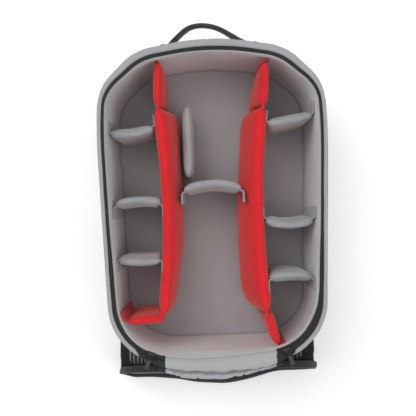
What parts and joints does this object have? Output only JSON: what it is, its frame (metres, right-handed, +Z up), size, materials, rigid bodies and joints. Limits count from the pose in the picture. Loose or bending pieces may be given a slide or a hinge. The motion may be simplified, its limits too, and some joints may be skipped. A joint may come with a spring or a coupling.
{
  "type": "camera backpack",
  "caption": "Rear-access camera backpack lying open: oval padded shell, red and grey lift-out dividers, zip round the rim, harness panel folded under, top carry handle.",
  "frame": {"origin": "point on the underside of the folded-back lid, at floor level, near the middle of the bag", "axes": "+X across the bag, +Y towards the carry handle, +Z up out of the opening"},
  "size_m": [0.3586, 0.6186, 0.2224],
  "materials": {
    "outer_fabric": "plain-weave polyester",
    "lining": "brushed loop knit",
    "grey_divider": "brushed loop knit",
    "red_divider": "brushed loop knit",
    "zip_tape": "woven tape with coil teeth",
    "webbing": "ribbed webbing",
    "air_mesh": "ribbed spacer mesh",
    "dark_fabric": "plain-weave nylon",
    "slider_metal": "satin black",
    "buckle_plastic": "fine texture"
  },
  "bodies": {
    "bag": {"side_wall": "outer_fabric", "front_panel": "outer_fabric", "rim_band": "outer_fabric", "body_zip": "zip_tape", "lining_wall": "lining", "lining_floor": "lining", "hinge_gusset": "lining", "front_pocket": "outer_fabric", "front_pocket_zip": "zip_tape", "handle_anchor_left": "webbing", "handle_anchor_right": "webbing"},
    "handle": {"carry_handle": "webbing"},
    "slider_left": {"zip_slider_left": "slider_metal"},
    "pull_left": {"zip_pull_left": "slider_metal"},
    "slider_right": {"zip_slider_right": "slider_metal"},
    "pull_right": {"zip_pull_right": "slider_metal"},
    "pocket_slider": {"pocket_zip_slider": "slider_metal"},
    "pocket_pull": {"pocket_zip_pull": "slider_metal"},
    "lid_lower": {"lid_lower_pad": "lining", "lid_lower_binding": "dark_fabric", "lumbar_pad": "air_mesh"},
    "lid_upper": {"lid_upper_pad": "lining", "lid_upper_binding": "dark_fabric", "back_pad_left": "air_mesh", "back_pad_right": "air_mesh", "shoulder_strap_left": "air_mesh", "shoulder_strap_right": "air_mesh", "strap_yoke": "dark_fabric", "strap_buckles": "buckle_plastic", "strap_webbing": "webbing"},
    "red_left": {"red_left_main": "red_divider", "red_left_top": "red_divider", "red_left_foot": "red_divider"},
    "red_right": {"red_right_main": "red_divider", "red_right_top": "red_divider", "red_right_foot": "red_divider"},
    "left_divider_top_body": {"left_divider_top": "grey_divider"},
    "left_divider_middle_body": {"left_divider_middle": "grey_divider"},
    "left_divider_bottom_body": {"left_divider_bottom": "grey_divider"},
    "right_divider_top_body": {"right_divider_top": "grey_divider"},
    "right_divider_middle_body": {"right_divider_middle": "grey_divider"},
    "right_divider_bottom_body": {"right_divider_bottom": "grey_divider"},
    "centre_divider_cross_body": {"centre_divider_cross": "grey_divider"},
    "centre_divider_long_body": {"centre_divider_long": "grey_divider"}
  },
  "joints": [
    {"name": "lid_hinge", "type": "hinge", "parent": "bag", "child": "lid_lower", "pos_m": [0, -0.2665, 0.217], "axis": [1, 0, 0], "range_deg": [-256.5, 0]},
    {"name": "lid_fold", "type": "hinge", "parent": "lid_lower", "child": "lid_upper", "pos_m": [0, -0.29323, 0.02], "axis": [1, 0, 0], "range_deg": [-103.5, 0]},
    {"name": "handle_hinge", "type": "hinge", "parent": "bag", "child": "handle", "pos_m": [0, 0.264, 0.12], "axis": [1, 0, 0], "range_deg": [-45, 45]},
    {"name": "slider_left_run", "type": "hinge", "parent": "bag", "child": "slider_left", "pos_m": [-0.07576, -0.153, 0.216], "axis": [0, 0, -1], "range_deg": [0, 55]},
    {"name": "pull_left_hinge", "type": "hinge", "parent": "slider_left", "child": "pull_left", "pos_m": [-0.10812, -0.2373, 0.2184], "axis": [-0.9336, 0.3584, 0], "range_deg": [0, 80]},
    {"name": "slider_right_run", "type": "hinge", "parent": "bag", "child": "slider_right", "pos_m": [0.07576, -0.153, 0.216], "axis": [0, 0, 1], "range_deg": [0, 55]},
    {"name": "pull_right_hinge", "type": "hinge", "parent": "slider_right", "child": "pull_right", "pos_m": [0.10812, -0.2373, 0.2184], "axis": [-0.9336, -0.3584, 0], "range_deg": [0, 80]},
    {"name": "pocket_slider_run", "type": "slide", "parent": "bag", "child": "pocket_slider", "axis": [1, 0, 0], "range_m": [0, 0.14]},
    {"name": "pocket_pull_hinge", "type": "hinge", "parent": "pocket_slider", "child": "pocket_pull", "pos_m": [-0.071, 0.2463, 0.017], "axis": [-1, 0, 0], "range_deg": [0, 60]},
    {"name": "red_left_lift", "type": "slide", "parent": "bag", "child": "red_left", "axis": [0, 0, 1], "range_m": [0, 0.18]},
    {"name": "red_right_lift", "type": "slide", "parent": "bag", "child": "red_right", "axis": [0, 0, 1], "range_m": [0, 0.18]},
    {"name": "left_divider_top_lift", "type": "slide", "parent": "bag", "child": "left_divider_top_body", "axis": [0, 0, 1], "range_m": [0, 0.18]},
    {"name": "left_divider_middle_lift", "type": "slide", "parent": "bag", "child": "left_divider_middle_body", "axis": [0, 0, 1], "range_m": [0, 0.18]},
    {"name": "left_divider_bottom_lift", "type": "slide", "parent": "bag", "child": "left_divider_bottom_body", "axis": [0, 0, 1], "range_m": [0, 0.18]},
    {"name": "right_divider_top_lift", "type": "slide", "parent": "bag", "child": "right_divider_top_body", "axis": [0, 0, 1], "range_m": [0, 0.18]},
    {"name": "right_divider_middle_lift", "type": "slide", "parent": "bag", "child": "right_divider_middle_body", "axis": [0, 0, 1], "range_m": [0, 0.18]},
    {"name": "right_divider_bottom_lift", "type": "slide", "parent": "bag", "child": "right_divider_bottom_body", "axis": [0, 0, 1], "range_m": [0, 0.18]},
    {"name": "centre_divider_cross_lift", "type": "slide", "parent": "bag", "child": "centre_divider_cross_body", "axis": [0, 0, 1], "range_m": [0, 0.18]},
    {"name": "centre_divider_long_lift", "type": "slide", "parent": "bag", "child": "centre_divider_long_body", "axis": [0, 0, 1], "range_m": [0, 0.18]}
  ]
}
